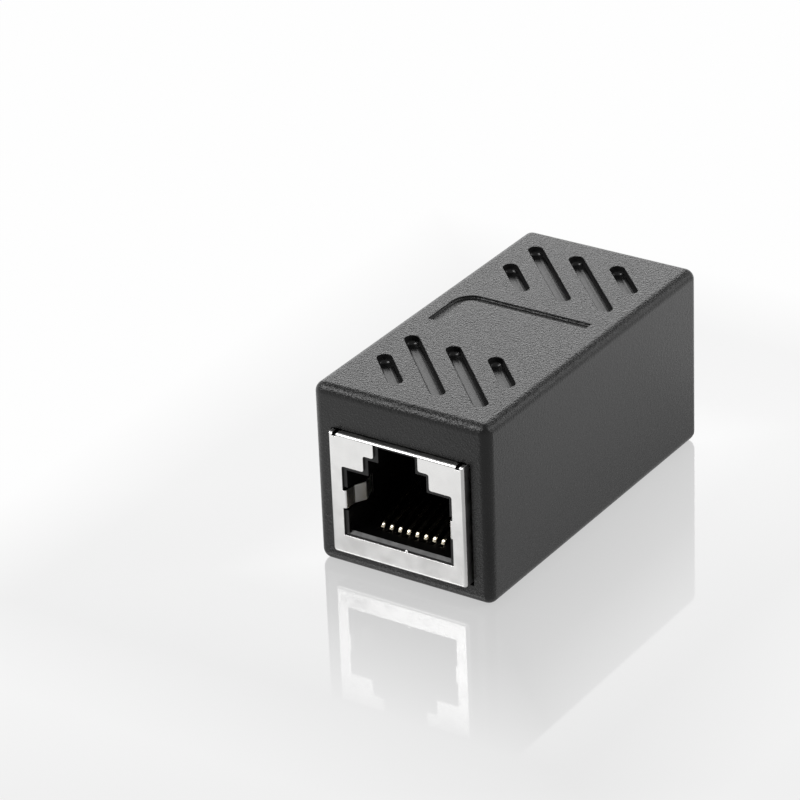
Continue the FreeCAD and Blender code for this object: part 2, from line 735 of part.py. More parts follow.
    def contact(self, label, number, rear):
        """One sprung contact: board tail, climb, run under the cavity, fold and rising blade."""
        s = self.s
        piece = Piece(self.doc, label, self.socket_place(rear), turned=rear)
        row = self.tail_row(number)
        start = self.board_topside + s.tail_projection
        spine = piece.draw("route", "YZ_Plane", offset=self.column(number))
        spine.bent_line([
            (row, start),
            (row, self.contact_run),
            (s.contact_fold_setback, self.contact_run),
            (s.contact_fold_setback, s.floor_thickness + s.contact_fold_height),
            (s.contact_tip_setback, s.floor_thickness + s.contact_tip_height),
        ], s.contact_bend_radius)
        profile = piece.draw("wire", "XY_Plane", offset=start)
        middle = self.column(number)
        profile.rectangle(middle - s.contact_width / 2, row - s.contact_thickness / 2,
                          middle + s.contact_width / 2, row + s.contact_thickness / 2)
        self.doc.recompute()
        piece.pipe(profile, spine, "strip")
        return piece

    def build(self):
        """Makes every piece, the front socket's before the rear one's."""
        pieces = [self.sleeve(), self.rear_frame(), self.circuit_board()]
        for end, rear in (("front", False), ("rear", True)):
            pieces.append(self.shield(f"{end}_shield", rear))
            pieces.append(self.insulator(f"{end}_insulator", rear))
            pieces.append(self.contact_carrier(f"{end}_contact_carrier", rear))
            for number in range(1, CONTACTS + 1):
                pieces.append(self.contact(f"{end}_contact_{number}", number, rear))
        return pieces


def main():
    """Builds the coupler, checks every object and writes each piece to its own file."""
    doc = FreeCAD.newDocument("inline_coupler")
    pieces = Coupler(doc).build()
    doc.recompute()
    failed = [item.Name for item in doc.Objects if {"Invalid", "Error"} & set(item.State)]
    if failed:
        raise RuntimeError(f"failed objects: {', '.join(failed)}")
    os.makedirs("parts", exist_ok=True)
    for piece in pieces:
        shape = piece.body.Shape
        if shape.isNull() or not shape.isValid() or len(shape.Solids) != 1:
            raise RuntimeError(f"{piece.body.Label} is not one valid solid")
        shape.exportStep(os.path.join("parts", f"{piece.body.Label}.step"))
        print(f"{piece.body.Label}: {shape.Volume:.2f} mm3")


main()
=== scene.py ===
"""An inline network coupler: a black moulded sleeve with a shielded socket in each end.

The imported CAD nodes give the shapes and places. This script rounds their sharp edges, gives each node
its finish, replaces the sprung contacts with strips that have rounded edges, adds the soldered joints of
the circuit board, and sets the floor, the lamps and the camera. Lengths are in metres where nothing
says millimetres.
"""

import logging
from dataclasses import dataclass, field
from enum import Enum
from functools import reduce
from typing import Dict, List, Optional, Sequence, Tuple, Union

import bmesh
import bpy
import numpy as np
from mathutils import Matrix, Vector

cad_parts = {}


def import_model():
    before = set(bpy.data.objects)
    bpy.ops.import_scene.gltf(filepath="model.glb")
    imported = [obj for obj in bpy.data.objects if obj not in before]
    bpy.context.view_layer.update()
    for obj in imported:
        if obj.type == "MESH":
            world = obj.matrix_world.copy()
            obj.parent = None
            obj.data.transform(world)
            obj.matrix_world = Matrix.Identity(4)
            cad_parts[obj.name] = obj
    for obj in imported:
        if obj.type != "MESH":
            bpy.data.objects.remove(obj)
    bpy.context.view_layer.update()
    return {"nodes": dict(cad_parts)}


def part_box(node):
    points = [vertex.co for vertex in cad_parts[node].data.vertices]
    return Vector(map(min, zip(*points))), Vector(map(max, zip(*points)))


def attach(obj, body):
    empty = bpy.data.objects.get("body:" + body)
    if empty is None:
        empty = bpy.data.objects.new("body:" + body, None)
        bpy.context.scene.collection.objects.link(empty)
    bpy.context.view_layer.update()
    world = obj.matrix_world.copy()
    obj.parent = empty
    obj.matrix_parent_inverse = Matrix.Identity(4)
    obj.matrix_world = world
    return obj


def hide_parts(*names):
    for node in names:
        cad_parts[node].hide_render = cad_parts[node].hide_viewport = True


LOG = logging.getLogger("coupler")

MM = 0.001
BODY = "root"
MERGE = 1e-7
METAL = {"Metallic": 1.0}
Pair = Tuple[float, float]
Triple = Tuple[float, float, float]
Socket = bpy.types.NodeSocket
Material = bpy.types.Material
Nodes = Dict[str, bpy.types.Object]
Numbers = Union[int, np.ndarray]
Key = Union[int, str]


class Slot(str, Enum):
    """The material slots that the sockets' pieces take their finishes from."""

    SHIELD = "shield"
    INSULATOR = "insulator"
    CONTACT = "contact"


class End(Enum):
    """The two ends of the coupler, with the way that each one's socket runs inwards."""

    FRONT = 1.0
    REAR = -1.0

    def label(self, piece: str) -> str:
        """Returns the name of this end's piece."""
        return f"{self.name.lower()}_{piece}"


# ---------------------------------------------------------------- node graphs


class NodeGraph:
    """A node graph that is written from left to right.

    Args:
        tree: The node tree that it fills.
    """

    def __init__(self, tree: bpy.types.NodeTree) -> None:
        self.tree = tree

    def node(self, kind: str, **settings: object) -> bpy.types.Node:
        """Adds a node.

        Args:
            kind: Blender's name of the node type.
            **settings: Attributes of the node to set.

        Returns:
            The new node.
        """
        made = self.tree.nodes.new(kind)
        for key, value in settings.items():
            setattr(made, key, value)
        return made

    def feed(self, target: Socket, value: object) -> None:
        """Links a socket to an output, or gives it a constant.

        Args:
            target: The input socket.
            value: An output socket, a number, a name or a colour.
        """
        if isinstance(value, Socket):
            self.tree.links.new(value, target)
        else:
            target.default_value = value

    def wired(self, kind: str, output: Key, inputs: Dict[Key, object], **settings: object) -> Socket:
        """Adds a node and wires it.

        Args:
            kind: Blender's name of the node type.
            output: Name or number of the output that is wanted.
            inputs: What its inputs are fed, by name or number.
            **settings: Attributes of the node to set.

        Returns:
            The output.
        """
        node = self.node(kind, **settings)
        for key, value in inputs.items():
            self.feed(node.inputs[key], value)
        return node.outputs[output]

    def maths(self, operation: str, *values: object) -> Socket:
        """Returns the result of one of Blender's math operations on sockets or numbers."""
        return self.wired("ShaderNodeMath", 0, dict(enumerate(values)), operation=operation)

    def product(self, *values: object) -> Socket:
        """Returns the product of sockets or numbers."""
        return reduce(lambda first, second: self.maths("MULTIPLY", first, second), values)

    def within(self, value: Socket, reach: float) -> Socket:
        """Returns 1 where a value lies nearer to zero than the reach, and 0 elsewhere."""
        return self.maths("LESS_THAN", self.maths("ABSOLUTE", value), reach)

    def split(self, vector: Socket) -> bpy.types.bpy_prop_collection:
        """Returns the X, Y and Z of a vector, by name."""
        parts = self.node("ShaderNodeSeparateXYZ")
        self.feed(parts.inputs[0], vector)
        return parts.outputs


class FinishGraph(NodeGraph):
    """The node graph of a material, whose patterns lie on the piece's own coordinates.

    Args:
        name: The material's name.
    """

    def __init__(self, name: str) -> None:
        self.material = bpy.data.materials.new(name)
        self.material.use_nodes = True
        super().__init__(self.material.node_tree)
        self.tree.nodes.clear()
        self.output = self.node("ShaderNodeOutputMaterial")
        self.place = self.node("ShaderNodeTexCoord").outputs["Object"]

    def stretched(self, sizes: Triple) -> Socket:
        """Returns the coordinates, scaled so that a pattern of size 1 has these sizes."""
        scale = [1.0 / value for value in sizes]
        return self.wired("ShaderNodeMapping", "Vector", {"Vector": self.place, "Scale": scale})

    def noise(self, sizes: Triple, detail: float = 3.0, rough: float = 0.5) -> Socket:
        """Returns noise from 0 to 1 in patches of these sizes, with finer layers and their strength."""
        return self.wired("ShaderNodeTexNoise", "Fac", {
            "Vector": self.stretched(sizes), "Scale": 1.0, "Detail": detail, "Roughness": rough})

    def pits(self, size: float) -> Socket:
        """Returns the distance to the nearest middle of a pattern of cells of this size, in cells."""
        return self.wired("ShaderNodeTexVoronoi", "Distance", {
            "Vector": self.stretched(even(size)), "Scale": 1.0})

    def along(self, heading: Triple) -> Socket:
        """Returns how far a point lies along a heading from the origin."""
        return self.wired("ShaderNodeVectorMath", "Value", {0: self.place, 1: heading},
                          operation="DOT_PRODUCT")

    def ranged(self, source: Socket, low: float, high: float, start: float = 0.3,
               end: float = 0.7) -> Socket:
        """Returns a value that goes from low to high while the source goes from start to end."""
        return self.wired("ShaderNodeMapRange", "Result", {
            "Value": source, "To Min": low, "To Max": high, "From Min": start, "From Max": end})

    def scaled(self, colour: Triple, by: Socket) -> Socket:
        """Returns a linear colour times a value."""
        return self.wired("ShaderNodeVectorMath", "Vector", {0: colour, "Scale": by}, operation="SCALE")

    def bump(self, height: Socket, depth: float, **coarser: Socket) -> Socket:
        """Returns the normal of relief this deep, over the Normal of coarser relief if that is given."""
        return self.wired("ShaderNodeBump", "Normal", {"Height": height, "Distance": depth, **coarser})

    def blend(self, share: Socket, first: Socket, second: Socket) -> Socket:
        """Returns two shaders mixed by the second one's share."""
        return self.wired("ShaderNodeMixShader", "Shader", {0: share, 1: first, 2: second})

    def close(self, shader: Socket) -> Material:
        """Ends the graph in a shader and returns the material."""
        self.feed(self.output.inputs["Surface"], shader)
        return self.material

    def finish(self, colour: Socket, roughness: Socket, normal: Socket,
               constants: Optional[Dict[str, float]] = None) -> Material:
        """Ends the graph in a surface shader and returns the material."""
        return self.close(self.wired("ShaderNodeBsdfPrincipled", "BSDF", {
            "Base Color": colour, "Roughness": roughness, "Normal": normal, **(constants or {})}))


class MeshGraph(NodeGraph):
    """A node graph that changes a mesh step by step.

    Args:
        name: The graph's name.
    """

    def __init__(self, name: str) -> None:
        super().__init__(bpy.data.node_groups.new(name, "GeometryNodeTree"))
        for way in ("INPUT", "OUTPUT"):
            self.tree.interface.new_socket("Geometry", in_out=way,
                                           socket_type="NodeSocketGeometry")
        self.mesh = self.node("NodeGroupInput").outputs[0]

    def step(self, kind: str, inputs: Dict[Key, object], **settings: object) -> None:
        """Adds a node that takes the mesh, and its other inputs, and hands the mesh on."""
        self.mesh = self.wired(kind, 0, {"Geometry": self.mesh, **inputs}, **settings)

    def turning(self, angle: float) -> Socket:
        """Returns 1 on the edges whose faces meet at more than an angle, and 0 elsewhere."""
        turn = self.node("GeometryNodeInputMeshEdgeAngle")
        return self.maths("GREATER_THAN", turn.outputs["Unsigned Angle"], angle)

    def close(self) -> bpy.types.NodeTree:
        """Ends the graph and returns its tree."""
        self.feed(self.node("NodeGroupOutput").inputs[0], self.mesh)
        return self.tree


def even(size: float) -> Triple:
    """Returns one patch size for all three axes."""
    return (size, size, size)


# ---------------------------------------------------------------- finishes


@dataclass(frozen=True)
class Finish:
    """What every finish has.

    Attributes:
        name: The material's name.
        colour: Linear base colour.
        tint: Lowest and highest share of the colour.
        roughness: Lowest and highest roughness.
    """

    name: str
    colour: Triple
    tint: Pair
    roughness: Pair


@dataclass(frozen=True)
class SparkErodedPlastic(Finish):
    """Black plastic with the fine matt grain that a spark-eroded mould leaves.

    Attributes:
        specular: Strength of the shine.
        grain: Size of the fine grain.
        grain_depth: Depth of the fine grain.
        pit: Size of the craters.
        pit_depth: Depth of the craters.
        flow: Size of the patches of the melt's flow.
        walls: Heights between which the grain grows to its full depth.
        wall_grain: Share of the grain on the side walls.
        slot_reach: Half the width of the slotted field of the roof.
        slot_ends: Distances along Y between which the slots lie.
        slot_heights: Heights between which their walls lie.
        slot_grain: Share of the grain in the slots, which polished blades mould.
        slot_floor: Height that the floor of a slot stays below.
        slot_floor_painted_light: How much paler the floor of a slot is painted, as painted light that
            lifts the shade in the slot.
        slot_matt: Roughness that the walls of a slot gain, where the blades drag.
    """

    name: str = "sleeve_spark_eroded"
    colour: Triple = (0.012, 0.012, 0.0122)
    tint: Pair = (0.9, 1.12)
    roughness: Pair = (0.16, 0.32)
    specular: float = 0.5
    grain: float = 0.13 * MM
    grain_depth: float = 0.065 * MM
    pit: float = 0.26 * MM
    pit_depth: float = 0.045 * MM
    flow: float = 6.0 * MM
    walls: Pair = (19.4 * MM, 19.88 * MM)
    wall_grain: float = 0.4
    slot_reach: float = 8.9 * MM
    slot_ends: Pair = (7.0 * MM, 19.0 * MM)
    slot_heights: Pair = (18.6 * MM, 19.8 * MM)
    slot_grain: float = 0.2
    slot_floor: float = 19.25 * MM
    slot_floor_painted_light: float = 1.7
    slot_matt: float = 0.4

    def slotted(self, graph: FinishGraph, at: bpy.types.bpy_prop_collection, top: float) -> Socket:
        """Marks the points of the roof's slots.

        Args:
            graph: The graph.
            at: The point's coordinates.
            top: Height that the points lie below.

        Returns:
            1 between the slots' lowest height and the top inside the slotted field, and 0 elsewhere.
        """
        along = graph.maths("ABSOLUTE", at["Y"])
        return graph.product(graph.within(at["X"], self.slot_reach),
                             graph.maths("GREATER_THAN", along, self.slot_ends[0]),
                             graph.maths("LESS_THAN", along, self.slot_ends[1]),
                             graph.maths("LESS_THAN", at["Z"], top),
                             graph.maths("GREATER_THAN", at["Z"], self.slot_heights[0]))

    def make(self) -> Material:
        """Makes the material: craters of two sizes, deepest on the roof, faint flow of the melt, and
        painted light on the slot floors.

        Returns:
            The material.
        """
        graph = FinishGraph(self.name)
        at = graph.split(graph.place)
        slots = self.slotted(graph, at, self.slot_heights[1])
        floors = self.slotted(graph, at, self.slot_floor)
        share = graph.product(graph.ranged(at["Z"], self.wall_grain, 1.0, *self.walls),
                              graph.ranged(slots, 1.0, self.slot_grain, 0.0, 1.0))
        grain = graph.noise(even(self.grain), detail=2.0, rough=0.6)
        normal = graph.bump(graph.product(graph.pits(self.pit), share), self.pit_depth)
        normal = graph.bump(graph.product(grain, share), self.grain_depth, Normal=normal)
        # Painted light: the slot floors are painted paler to lift the shade that the slot walls cast.
        tint = graph.product(graph.ranged(graph.noise(even(self.flow)), *self.tint),
                             graph.ranged(floors, 1.0, self.slot_floor_painted_light, 0.0, 1.0))
        matt = graph.product(graph.maths("SUBTRACT", slots, floors), self.slot_matt)
        roughness = graph.maths("ADD", graph.ranged(grain, *self.roughness), matt)
        return graph.finish(graph.scaled(self.colour, tint), roughness, normal,
                            {"Specular IOR Level": self.specular})


@dataclass(frozen=True)
class NickelPlate(Finish):
    """Bright nickel over rolled sheet: fine rolling lines, the faint cloud of handling, and outer walls
    darkened by painted shade.

    Attributes:
        wall: Half the width and half the height that the outer walls lie beyond.
        middle: Height of the shield's middle.
        change: Width of the change from inside to an outer wall.
        face: Distances along Y between which the walls turn into the face.
        painted_wall_shade: Share of the brightness that the outer walls keep under their painted shade.
        side_gain: Share of the brightness that the side walls get back from that painted shade.
        brushed: Roughness that the side walls gain.
        springs: Distances from the side wall between which the springs begin.
        scuff: Roughness that the springs gain from the plugs that pass.
        lines: Size of the rolling lines along each axis.
        line_depth: Depth of the rolling lines.
        cloud: Size of the patches of handling.
        wave: Size of the sheet's waves.
        wave_depth: Depth of the sheet's waves.
    """

    name: str = "shield_nickel"
    colour: Triple = (0.9, 0.895, 0.885)
    tint: Pair = (0.96, 1.02)
    roughness: Pair = (0.1, 0.22)
    wall: Pair = (7.7 * MM, 6.55 * MM)
    middle: float = 8.725 * MM
    change: float = 0.05 * MM
    face: Pair = (21.05 * MM, 21.25 * MM)
    painted_wall_shade: float = 0.25
    side_gain: float = 0.2
    brushed: float = 0.3
    springs: Pair = (-1.0 * MM, -0.9 * MM)
    scuff: float = 0.2
    lines: Triple = (4.0 * MM, 0.06 * MM, 0.06 * MM)
    line_depth: float = 0.0006 * MM
    cloud: float = 1.6 * MM
    wave: float = 5.0 * MM
    wave_depth: float = 0.01 * MM

    def make(self) -> Material:
        """Makes the material: rolling lines along X, cloudy roughness, a slight wave, and painted shade
        on the outer walls.

        A point lies in an outer wall where its distance from the middle passes the wall's along X or
        along Z, and behind the face where its distance along Y is less than the face's.

        Returns:
            The material.
        """
        graph = FinishGraph(self.name)
        at = graph.split(graph.place)
        across = graph.maths("SUBTRACT", graph.maths("ABSOLUTE", at["X"]), self.wall[0])
        height = graph.maths("ABSOLUTE", graph.maths("SUBTRACT", at["Z"], self.middle))
        beyond = graph.maths("MAXIMUM", across, graph.maths("SUBTRACT", height, self.wall[1]))
        behind = graph.ranged(graph.maths("ABSOLUTE", at["Y"]), 1.0, 0.0, *self.face)
        outer = graph.product(behind, graph.ranged(beyond, 0.0, 1.0, 0.0, self.change))
        sides = graph.product(behind, graph.ranged(across, 0.0, 1.0, 0.0, self.change))
        sprung = graph.product(behind, graph.ranged(across, self.scuff, 0.0, *self.springs))
        # Painted shade: the outer walls behind the face are darkened in colour, the side walls a little
        # less.
        bright = graph.maths("ADD", graph.ranged(outer, 1.0, self.painted_wall_shade, 0.0, 1.0),
                             graph.product(sides, self.side_gain))
        worn = graph.maths("ADD", sprung, graph.product(sides, self.brushed))
        cloud = graph.noise(even(self.cloud), detail=4.0)
        normal = graph.bump(graph.noise(even(self.wave), detail=1.0), self.wave_depth)
        normal = graph.bump(graph.noise(self.lines, detail=2.0), self.line_depth, Normal=normal)
        bright = graph.product(graph.ranged(cloud, *self.tint), bright)
        roughness = graph.maths("ADD", graph.ranged(cloud, *self.roughness), worn)
        return graph.finish(graph.scaled(self.colour, bright), roughness, normal, METAL)


@dataclass(frozen=True)
class MouldedBlack(Finish):
    """Smooth black plastic, as moulded against a polished core.

    Attributes:
        specular: Strength of the shine.
        ripple: Size of the core's ripple.
        ripple_depth: Depth of the ripple.
    """

    name: str = "insulator_black"
    colour: Triple = (0.005, 0.005, 0.0051)
    tint: Pair = (0.85, 1.15)
    roughness: Pair = (0.27, 0.39)
    specular: float = 0.42
    ripple: float = 0.7 * MM
    ripple_depth: float = 0.004 * MM

    def make(self) -> Material:
        """Makes the material: a faint ripple and uneven gloss.

        Returns:
            The material.
        """
        graph = FinishGraph(self.name)
        ripple = graph.noise(even(self.ripple), detail=4.0)
        colour = graph.scaled(self.colour, graph.ranged(ripple, *self.tint))
        return graph.finish(colour, graph.ranged(ripple, *self.roughness),
                            graph.bump(ripple, self.ripple_depth), {"Specular IOR Level": self.specular})


@dataclass(frozen=True)
class GoldFlash(Finish):
    """Thin gold over nickel on phosphor bronze, drawn along the strip.

    Attributes:
        lines: Size of the drawing lines along each axis.
        line_depth: Depth of the drawing lines.
        cloud: Size of the patches where the flash is thinner.
    """

    name: str = "contact_gold"
    colour: Triple = (1.0, 0.9, 0.7)
    tint: Pair = (0.9, 1.0)
    roughness: Pair = (0.09, 0.19)
    lines: Triple = (0.03 * MM, 2.0 * MM, 2.0 * MM)
    line_depth: float = 0.0006 * MM
    cloud: float = 0.5 * MM

    def make(self) -> Material:
        """Makes the material: drawing lines along the strip and a duller flash in places.

        Returns:
            The material.
        """
        graph = FinishGraph(self.name)
        cloud = graph.noise(even(self.cloud))
        normal = graph.bump(graph.noise(self.lines, detail=2.0), self.line_depth)
        colour = graph.scaled(self.colour, graph.ranged(cloud, *self.tint))
        return graph.finish(colour, graph.ranged(cloud, *self.roughness), normal, METAL)


@dataclass(frozen=True)
class SolderResist(Finish):
    """Green resist over copper and glass cloth.

    Attributes:
        weave: Size of the cloth's threads along each axis.
        weave_depth: Depth of the weave.
        cloud: Size of the patches of the coat.
    """

    name: str = "board_resist"
    colour: Triple = (0.012, 0.09, 0.035)
    tint: Pair = (0.85, 1.15)
    roughness: Pair = (0.27, 0.37)
    weave: Triple = (0.5 * MM, 0.5 * MM, 5.0 * MM)
    weave_depth: float = 0.004 * MM
    cloud: float = 4.0 * MM

    def make(self) -> Material:
        """Makes the material: the cloth's weave below an uneven coat.

        Returns:
            The material.
        """
        graph = FinishGraph(self.name)
        tint = graph.ranged(graph.noise(even(self.cloud)), *self.tint)
        weave = graph.noise(self.weave, detail=1.0)
        return graph.finish(graph.scaled(self.colour, tint), graph.ranged(weave, *self.roughness),
                            graph.bump(weave, self.weave_depth))


@dataclass(frozen=True)
class Solder(Finish):
    """Tin solder, frozen bright with a fine crystal skin.

    Attributes:
        crystal: Size of the crystals.
        crystal_depth: Depth of the crystals.
    """

    name: str = "solder_tin"
    colour: Triple = (0.78, 0.79, 0.8)
    tint: Pair = (0.94, 1.02)
    roughness: Pair = (0.22, 0.38)
    crystal: float = 0.12 * MM
    crystal_depth: float = 0.004 * MM

    def make(self) -> Material:
        """Makes the material: small crystals that break up the shine.

        Returns:
            The material.
        """
        graph = FinishGraph(self.name)
        crystal = graph.pits(self.crystal)
        colour = graph.scaled(self.colour, graph.ranged(crystal, *self.tint))
        return graph.finish(colour, graph.ranged(crystal, *self.roughness),
                            graph.bump(crystal, self.crystal_depth), METAL)


# ---------------------------------------------------------------- meshes


def wrap_faces(count: int, rows: int, columns: int) -> np.ndarray:
    """Faces of tubes whose columns close on themselves.

    Corner (p, i, j) of the face in row i and column j is vertex (p * rows + i) * columns + j, and column
    j + 1 is taken round to 0 after the last.

    Args:
        count: Number of tubes.
        rows: Rows of vertices along each tube.
        columns: Vertices round each tube.

    Returns:
        Vertex numbers, four for each face.
    """
    tube = np.arange(count)[:, None, None]
    row = np.arange(rows - 1)[None, :, None]
    column = np.arange(columns)[None, None, :]
    after = (column + 1) % columns
    low = (tube * rows + row) * columns
    corners = [low + column, low + after, low + columns + after, low + columns + column]
    return np.stack(corners, axis=-1).reshape(-1, 4)


def add_object(name: str, data: bpy.types.ID) -> bpy.types.Object:
    """Puts an object into the scene.

    Args:
        name: The object's name.
        data: Its mesh, lamp or camera.

    Returns:
        The new object.
    """
    made = bpy.data.objects.new(name, data)
    bpy.context.scene.collection.objects.link(made)
    return made


def add_tubes(name: str, tubes: np.ndarray, material: Material, closed: bool = True) -> bpy.types.Object:
    """Makes an object from tubes, with the vertices that meet merged.

    A tube whose first and last rows are single points is closed there.

    Args:
        name: The object's name.
        tubes: Vertices in metres, shaped (tube, row, column, 3).
        material: Its finish.
        closed: Whether the tubes are closed, so that their faces can be turned outwards.

    Returns:
        The new object.
    """
    count, rows, columns = tubes.shape[:3]
    faces = wrap_faces(count, rows, columns)
    mesh = bpy.data.meshes.new(name)
    mesh.vertices.add(count * rows * columns)
    mesh.vertices.foreach_set("co", tubes.astype(np.float32).ravel())
    mesh.loops.add(faces.size)
    mesh.loops.foreach_set("vertex_index", faces.astype(np.int32).ravel())
    mesh.polygons.add(len(faces))
    mesh.polygons.foreach_set("loop_start", np.arange(0, faces.size, 4, dtype=np.int32))
    mesh.update(calc_edges=True)
    shape = bmesh.new()
    shape.from_mesh(mesh)
    bmesh.ops.remove_doubles(shape, verts=shape.verts, dist=MERGE)
    if closed:
        bmesh.ops.recalc_face_normals(shape, faces=shape.faces)
    shape.to_mesh(mesh)
    shape.free()
    mesh.shade_smooth()
    mesh.materials.append(material)
    LOG.info("%s: %d tubes, %d faces", name, count, len(mesh.polygons))
    return add_object(name, mesh)


def make_piece(name: str, tubes: np.ndarray, material: Material,
               replaces: Sequence[str] = ()) -> None:
    """Makes one piece from closed tubes and lets it ride on the part.

    Args:
        name: The piece's name.
        tubes: Vertices in metres, shaped (tube, row, column, 3).
        material: Its finish.
        replaces: CAD nodes that it stands for.
    """
    piece = add_tubes(name, tubes, material)
    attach(piece, BODY)
    if replaces:
        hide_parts(*replaces)


def rounded_route(corners: np.ndarray, radius: float, steps: int) -> Tuple[np.ndarray, np.ndarray]:
    """A plane route of straight runs with a round bend at each inner corner.

    At a corner the route arrives along a and leaves along b, turning by angle f. The bend starts
    r tan(f/2) before the corner, and at share t of the turn it has gone r sin(ft) along a and
    r (1 - cos(ft)) along the normal of a on the inner side.

    Args:
        corners: Corner points, shaped (n, 2).
        radius: Radius of every bend.
        steps: Stations on each bend.

    Returns:
        The stations and the route's direction at each, shaped (m, 2).
    """
    runs = np.diff(corners, axis=0)
    runs = runs / np.linalg.norm(runs, axis=1, keepdims=True)
    arrive, leave = runs[:-1, None, :], runs[1:, None, :]
    cross = arrive[..., 0] * leave[..., 1] - arrive[..., 1] * leave[..., 0]
    turn = np.arctan2(cross, (arrive * leave).sum(axis=-1))
    share = np.linspace(0.0, 1.0, steps)[None, :]
    inward = np.stack([-arrive[..., 1], arrive[..., 0]], axis=-1) * np.sign(turn)[..., None]
    start = corners[1:-1, None, :] - arrive * (radius * np.tan(np.abs(turn) / 2))[..., None]
    angle = (np.abs(turn) * share)[..., None]
    bends = start + radius * (np.sin(angle) * arrive + (1 - np.cos(angle)) * inward)
    ways = np.cos(angle) * arrive + np.sin(angle) * inward
    stations = np.concatenate([corners[:1], bends.reshape(-1, 2), corners[-1:]])
    headings = np.concatenate([runs[:1], ways.reshape(-1, 2), runs[-1:]])
    return stations, headings


def rounded_section(width: float, height: float, radius: float, steps: int) -> np.ndarray:
    """Outline of a rectangle with round corners.

    Corner q of the four lies at angle q times 90 degrees plus 45. Its arc is centred one radius inside
    both sides, and runs over the 90 degrees about that angle.

    Args:
        width: Full width.
        height: Full height.
        radius: Radius of the corners.
        steps: Points on each corner's arc.

    Returns:
        Points shaped (4 * steps, 2), counterclockwise.
    """
    quarter = np.arange(4)[:, None] * np.pi / 2
    angle = quarter + np.linspace(0.0, np.pi / 2, steps)[None, :]
    middle = quarter + np.pi / 4
    signs = np.stack([np.sign(np.cos(middle)), np.sign(np.sin(middle))], axis=-1)
    centres = signs * (np.array([width, height]) / 2 - radius)
    points = centres + radius * np.stack([np.cos(angle), np.sin(angle)], axis=-1)
    return points.reshape(-1, 2)


def levelled(plan: np.ndarray, heights: np.ndarray) -> np.ndarray:
    """Stands the rows of a plan at their heights.

    Args:
        plan: Points seen from above, shaped (row, column, 2).
        heights: Height of each row.

    Returns:
        Points shaped (row, column, 3).
    """
    level = np.broadcast_to(heights[:, None, None], plan.shape[:2] + (1,))
    return np.concatenate([plan, level], axis=-1)


# ---------------------------------------------------------------- edges


@dataclass(frozen=True)
class Rim:
    """Edges of one height around the slots and the line of the roof.

    Attributes:
        height: Height of the edges.
        width: How far their rounding reaches.
        reach: Half width and half length of the field that they lie in.
    """

    height: float
    width: float
    reach: Pair = (8.9 * MM, 19.0 * MM)


@dataclass
class EdgeSoftener:
    """Rounds the sharp edges of a CAD node, as moulding, stamping and plating do.

    The modifiers work on the node as it is shown, and leave its own mesh alone.

    Attributes:
        join: Distance within which loose corners are joined.
        flat: Angle within which faces count as one plane, in radians.
        sharp: Angle past which an edge is rounded, in radians.
        near: How close to a rim's height an edge of the rim lies.
        tree: The graph that joins the loose faces, once it is made.
    """

    join: float = 0.002 * MM
    flat: float = 0.002
    sharp: float = 0.5
    near: float = 0.03 * MM
    tree: Optional[bpy.types.NodeTree] = None

    def joined(self) -> bpy.types.NodeTree:
        """Makes the graph that joins the loose faces and marks the edges that stay sharp.

        Returns:
            The tree: merge the vertices, drop the stored normals, shade smooth, and mark sharp each edge
            whose faces meet at more than the sharp angle.
        """
        if self.tree is None:
            graph = MeshGraph("joined_faces")
            graph.step("GeometryNodeMergeByDistance", {"Distance": self.join})
            graph.step("GeometryNodeRemoveAttribute", {"Name": "custom_normal"})
            graph.step("GeometryNodeSetShadeSmooth", {}, domain="FACE")
            graph.step("GeometryNodeSetShadeSmooth", {
                "Selection": graph.turning(self.sharp), "Shade Smooth": False}, domain="EDGE")
            self.tree = graph.close()
        return self.tree

    def weighted(self, rims: Sequence[Rim], widest: float) -> bpy.types.NodeTree:
        """Makes the graph that gives the edges of the rims their shares of the widest rounding.

        Args:
            rims: The edges that are rounded.
            widest: The widest rounding.

        Returns:
            The tree: a sharp edge's weight is the rounding of the rim it lies on, over the widest of all,
            and every other edge has none.
        """
        graph = MeshGraph("rounding_weights")
        at = graph.split(graph.node("GeometryNodeInputPosition").outputs[0])
        weight: object = 0.0
        for rim in rims:
            share = graph.product(graph.within(graph.maths("SUBTRACT", at["Z"], rim.height), self.near),
                                  graph.within(at["X"], rim.reach[0]),
                                  graph.within(at["Y"], rim.reach[1]), rim.width / widest)
            weight = graph.maths("ADD", weight, share)
        weight = graph.product(weight, graph.turning(self.sharp))
        graph.step("GeometryNodeStoreNamedAttribute", {"Name": "bevel_weight_edge", "Value": weight},
                   domain="EDGE")
        return graph.close()

    def soften(self, node: bpy.types.Object, width: float, segments: int = 2,
               rims: Sequence[Rim] = ()) -> None:
        """Adds the modifiers to a node.

        Args:
            node: The CAD node.
            width: How far the widest rounding reaches from its edge.
            segments: Faces across each rounding.
            rims: The only edges that are rounded, each by its own width, where any are given.
        """
        node.modifiers.new("joined", "NODES").node_group = self.joined()
        planar = node.modifiers.new("planar", "DECIMATE")
        planar.decimate_type = "DISSOLVE"
        planar.angle_limit = self.flat
        if rims:
            node.modifiers.new("weights", "NODES").node_group = self.weighted(rims, width)
        bevel = node.modifiers.new("edges", "BEVEL")
        bevel.width = width
        bevel.segments = segments
        bevel.limit_method = "WEIGHT" if rims else "ANGLE"
        bevel.angle_limit = self.sharp
        bevel.use_clamp_overlap = not rims
        bevel.harden_normals = True
        node.modifiers.new("flats", "WEIGHTED_NORMAL").keep_sharp = True


def dress(node: bpy.types.Object, material: Material) -> None:
    """Gives a CAD node its finish.

    Args:
        node: The CAD node.
        material: The finish.
    """
    for place in node.material_slots:
        place.material = material
    LOG.info("%s: finish %s", node.name, material.name)


# ---------------------------------------------------------------- the coupler


